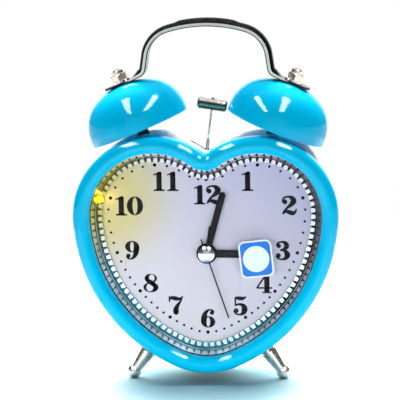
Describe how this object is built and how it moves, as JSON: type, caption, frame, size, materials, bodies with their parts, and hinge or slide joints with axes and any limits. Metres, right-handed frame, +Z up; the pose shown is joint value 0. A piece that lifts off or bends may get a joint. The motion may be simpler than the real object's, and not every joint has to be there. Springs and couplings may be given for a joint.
{
  "type": "twin bell alarm clock",
  "caption": "Heart-shaped analogue alarm clock with two tilted bells, a strap carrying handle, a striker between the bells, splayed legs and a battery movement with setting knobs at the back.",
  "frame": {"origin": "on the table plane, at the middle of the clock's width and depth", "axes": "+Z up, the dial faces -Y, +X to the right of someone who reads the dial"},
  "size_m": [0.1146, 0.0514, 0.1579],
  "materials": {
    "blue_enamel": "glossy light blue enamel",
    "silver_lacquer": "silver lacquer on the steel drum",
    "clear_lens": "clear flat lens",
    "chrome_trim": "polished chrome plate",
    "dial_face": "satin white-lilac dial with printed numerals",
    "white_plastic": "moulded white plastic",
    "cover_plastic": "moulded light grey plastic, fine grain",
    "knob_plastic": "moulded black plastic",
    "hand_black": "black lacquered aluminium",
    "gear_plastic": "natural acetal",
    "arbor_steel": "turned steel",
    "steel_zinc": "zinc plated steel",
    "dark_tube": "black lacquered tube",
    "battery_label": "dark plain battery sleeve",
    "lamp_yellow": "translucent yellow lamp body",
    "board_green": "green circuit board",
    "coil_copper": "enamelled copper winding",
    "iron_plate": "soft iron plate",
    "motor_can": "drawn steel can",
    "spring_contact": "nickel plated spring steel"
  },
  "bodies": {
    "clock": {"front_bezel": "blue_enamel", "lens": "clear_lens", "inner_ring": "chrome_trim", "dial": "dial_face", "dial_frame": "white_plastic", "case_shell": "silver_lacquer", "back_cover": "cover_plastic", "cover_screws": "steel_zinc", "battery_cell": "battery_label", "battery_contacts": "spring_contact", "movement_front_housing": "white_plastic", "movement_rear_housing": "white_plastic", "movement_screws": "steel_zinc", "circuit_board": "board_green", "stator": "iron_plate", "coil": "coil_copper", "alarm_switch": "knob_plastic", "light_switch": "knob_plastic", "led_lamp": "lamp_yellow", "striker_frame": "steel_zinc", "striker_frame_screws": "steel_zinc", "striker_pins": "arbor_steel", "striker_motor": "motor_can", "bell_left": "blue_enamel", "bell_right": "blue_enamel", "bell_posts": "dark_tube", "bell_studs": "steel_zinc", "stud_nuts": "steel_zinc", "handle": "chrome_trim", "handle_washers": "chrome_trim", "handle_nuts": "chrome_trim", "legs": "chrome_trim", "leg_washers": "chrome_trim", "rear_foot": "knob_plastic"},
    "battery_door": {"battery_door": "cover_plastic"},
    "time_knob": {"time_set_stem": "arbor_steel", "time_set_knob": "knob_plastic"},
    "minute_work": {"cannon_pinion": "gear_plastic", "minute_hand": "hand_black"},
    "minute_reduction": {"minute_wheel": "gear_plastic"},
    "hour_work": {"hour_wheel": "gear_plastic", "hour_hand": "hand_black"},
    "alarm_knob": {"alarm_set_stem": "arbor_steel", "alarm_set_knob": "knob_plastic"},
    "alarm_work": {"alarm_wheel": "gear_plastic", "alarm_hand": "hand_black"},
    "second_work": {"second_wheel": "arbor_steel", "second_hand": "hand_black", "centre_cap": "chrome_trim"},
    "third_work": {"third_wheel": "gear_plastic"},
    "centre_work": {"centre_wheel": "gear_plastic"},
    "intermediate_work": {"intermediate_wheel": "gear_plastic"},
    "rotor_work": {"rotor": "arbor_steel"},
    "crank": {"crank_wheel": "gear_plastic"},
    "motor_drive": {"motor_pinion": "gear_plastic"},
    "striker": {"striker_rocker": "white_plastic", "striker_wire": "steel_zinc", "striker_head": "chrome_trim"},
    "alarm_slider": {"alarm_slider": "knob_plastic"},
    "light_button": {"light_button": "knob_plastic"}
  },
  "joints": [
    {"name": "time_knob_turn", "type": "hinge", "parent": "clock", "child": "time_knob", "pos_m": [0.0192, -0.00765, 0.05632], "axis": [0, 1, 0], "continuous": true},
    {"name": "minute_turn", "type": "hinge", "parent": "clock", "child": "minute_work", "pos_m": [0, -0.00765, 0.05632], "axis": [0, 1, 0], "continuous": true},
    {"name": "minute_wheel_turn", "type": "hinge", "parent": "clock", "child": "minute_reduction", "pos_m": [0.0096, -0.00765, 0.05632], "axis": [0, 1, 0], "continuous": true},
    {"name": "hour_turn", "type": "hinge", "parent": "clock", "child": "hour_work", "pos_m": [0, -0.00885, 0.05632], "axis": [0, 1, 0], "continuous": true},
    {"name": "alarm_knob_turn", "type": "hinge", "parent": "clock", "child": "alarm_knob", "pos_m": [-0.016, -0.01005, 0.05632], "axis": [0, 1, 0], "continuous": true},
    {"name": "alarm_turn", "type": "hinge", "parent": "clock", "child": "alarm_work", "pos_m": [0, -0.01005, 0.05632], "axis": [0, 1, 0], "continuous": true},
    {"name": "second_turn", "type": "hinge", "parent": "clock", "child": "second_work", "pos_m": [0, -0.00405, 0.05632], "axis": [0, 1, 0], "continuous": true},
    {"name": "third_turn", "type": "hinge", "parent": "clock", "child": "third_work", "pos_m": [0, -0.00525, 0.04272], "axis": [0, 1, 0], "continuous": true},
    {"name": "centre_turn", "type": "hinge", "parent": "clock", "child": "centre_work", "pos_m": [0, -0.00645, 0.05632], "axis": [0, 1, 0], "continuous": true},
    {"name": "intermediate_turn", "type": "hinge", "parent": "clock", "child": "intermediate_work", "pos_m": [0.01015, -0.00285, 0.05159], "axis": [0, 1, 0], "continuous": true},
    {"name": "rotor_turn", "type": "hinge", "parent": "clock", "child": "rotor_work", "pos_m": [0.01435, -0.00165, 0.04431], "axis": [0, 1, 0], "continuous": true},
    {"name": "crank_turn", "type": "hinge", "parent": "clock", "child": "crank", "pos_m": [0, -0.00265, 0.0812], "axis": [0, 1, 0], "range_deg": [0, 180]},
    {"name": "motor_turn", "type": "hinge", "parent": "clock", "child": "motor_drive", "pos_m": [0.00867, -0.00265, 0.08273], "axis": [0, 1, 0], "range_deg": [-701, 0]},
    {"name": "striker_swing", "type": "hinge", "parent": "clock", "child": "striker", "pos_m": [0, -0.00065, 0.092], "axis": [0, 1, 0], "range_deg": [-8.2, 0]},
    {"name": "battery_door_hinge", "type": "hinge", "parent": "clock", "child": "battery_door", "pos_m": [0, 0.0208, 0.03042], "axis": [-1, 0, 0], "range_deg": [0, 110]},
    {"name": "alarm_slide", "type": "slide", "parent": "clock", "child": "alarm_slider", "axis": [0, 0, 1], "range_m": [0, 0.005]},
    {"name": "light_press", "type": "slide", "parent": "clock", "child": "light_button", "axis": [0, -1, 0], "range_m": [0, 0.0015], "stiffness_N_per_m": 300, "springref_m": -0.001}
  ],
  "couplings": [
    {"joint": "minute_turn", "follows": "time_knob_turn", "ratio": 1},
    {"joint": "minute_wheel_turn", "follows": "time_knob_turn", "ratio": -0.33333},
    {"joint": "hour_turn", "follows": "time_knob_turn", "ratio": 0.083333},
    {"joint": "alarm_turn", "follows": "alarm_knob_turn", "ratio": -1},
    {"joint": "third_turn", "follows": "second_turn", "ratio": -0.13333},
    {"joint": "centre_turn", "follows": "second_turn", "ratio": 0.016667},
    {"joint": "intermediate_turn", "follows": "second_turn", "ratio": -6},
    {"joint": "rotor_turn", "follows": "second_turn", "ratio": 30},
    {"joint": "motor_turn", "follows": "crank_turn", "ratio": -3.8889},
    {"joint": "striker_swing", "follows": "crank_turn", "ratio": -0.045312}
  ]
}
